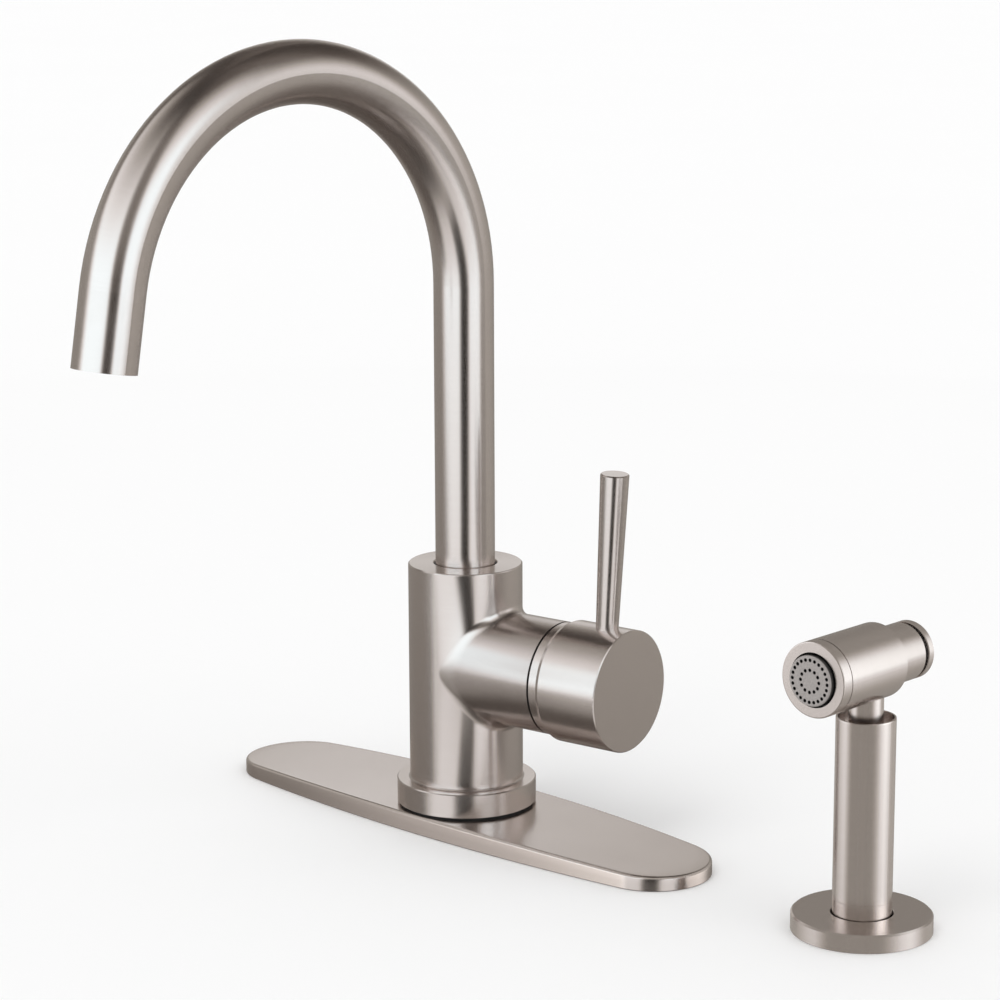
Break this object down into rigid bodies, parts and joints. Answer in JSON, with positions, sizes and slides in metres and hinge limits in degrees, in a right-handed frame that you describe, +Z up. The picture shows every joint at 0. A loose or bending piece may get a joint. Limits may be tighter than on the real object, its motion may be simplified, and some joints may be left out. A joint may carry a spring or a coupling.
{
  "type": "side spray kitchen faucet",
  "caption": "Single-handle kitchen faucet with a high-arc swivel spout, side lever and long deck plate, plus a separate pull-out hand sprayer in its own holder.",
  "frame": {"origin": "on the spout's axis, in the deck's surface under the deck plate", "axes": "+Z up; +X along the deck plate, towards the handle and the sprayer; -Y towards the sink"},
  "size_m": [0.361, 0.2325, 0.3959],
  "materials": {
    "satin_nickel": "fine brushed satin nickel plating",
    "steel": "plain zinc plated",
    "brass": "machined",
    "black_rubber": "matte",
    "dark_plastic": "moulded",
    "white_plastic": "moulded",
    "spray_face": "moulded, satin",
    "ceramic": "lapped"
  },
  "bodies": {
    "root": {"deck_plate": "satin_nickel", "plate_gasket": "black_rubber", "ring_gasket": "black_rubber", "base_ring": "satin_nickel", "faucet_body": "satin_nickel", "spout_bushing": "dark_plastic", "spout_set_screw": "steel", "diverter_sleeve": "white_plastic", "diverter_foot": "white_plastic", "diverter_spring": "steel", "cartridge_base": "dark_plastic", "cartridge_seals": "black_rubber", "cartridge_housing": "dark_plastic", "fixed_disc": "ceramic", "cartridge_nut": "brass", "cap_gasket": "black_rubber", "trim_cap": "satin_nickel", "mounting_studs": "steel", "deck_washer": "black_rubber", "clamp_washer": "steel", "mounting_nuts": "steel", "spray_holder": "satin_nickel", "holder_liner": "dark_plastic", "holder_gasket": "black_rubber", "holder_washer": "dark_plastic", "holder_nut": "brass"},
    "spout": {"spout_tube": "satin_nickel", "spout_shank": "brass", "spout_o_rings": "black_rubber", "aerator_housing": "white_plastic", "aerator_insert": "white_plastic", "aerator_washer": "black_rubber"},
    "diverter": {"diverter_piston": "white_plastic", "diverter_poppet": "black_rubber"},
    "mixer": {"cartridge_rotor": "dark_plastic", "stem_pin": "steel"},
    "disc": {"moving_disc": "ceramic", "disc_carrier": "white_plastic"},
    "handle": {"handle_hub": "satin_nickel", "handle_lever": "satin_nickel", "hub_set_screw": "steel", "cartridge_stem": "brass"},
    "sprayer": {"grip_collar": "satin_nickel", "spray_grip": "satin_nickel", "hose_connector": "brass", "spray_neck": "satin_nickel", "spray_head": "satin_nickel", "face_ring": "satin_nickel", "spray_disc": "spray_face", "face_washer": "black_rubber", "button_spring": "steel"},
    "button": {"spray_button": "satin_nickel", "button_plunger": "dark_plastic", "valve_stem": "steel", "valve_seal": "black_rubber"}
  },
  "joints": [
    {"name": "spout_swivel", "type": "hinge", "parent": "root", "child": "spout", "pos_m": [0, 0, 0.1123], "axis": [0, 0, 1], "continuous": true},
    {"name": "diverter_shift", "type": "slide", "parent": "root", "child": "diverter", "axis": [0, 0, -1], "range_m": [0, 0.003], "stiffness_N_per_m": 150, "springref_m": -0.002, "deforming": ["diverter_spring"]},
    {"name": "mix_turn", "type": "hinge", "parent": "root", "child": "mixer", "pos_m": [0.04784, 0.00494, 0.0699], "axis": [0.9947, 0.1028, 0], "range_deg": [-45, 45]},
    {"name": "handle_tilt", "type": "hinge", "parent": "mixer", "child": "handle", "pos_m": [0.04784, 0.00494, 0.0699], "axis": [-0.1028, 0.9947, 0], "range_deg": [0, 20]},
    {"name": "disc_slide", "type": "slide", "parent": "mixer", "child": "disc", "axis": [0, 0, 1], "range_m": [0, 0.00483]},
    {"name": "sprayer_lift", "type": "slide", "parent": "root", "child": "sprayer", "axis": [0, 0, 1], "range_m": [0, 0.09]},
    {"name": "button_press", "type": "slide", "parent": "sprayer", "child": "button", "axis": [0, -1, 0], "range_m": [0, 0.0018], "stiffness_N_per_m": 400, "springref_m": -0.003, "deforming": ["button_spring"]}
  ],
  "couplings": [
    {"joint": "disc_slide", "follows": "handle_tilt", "m_per_rad": 0.013815}
  ]
}
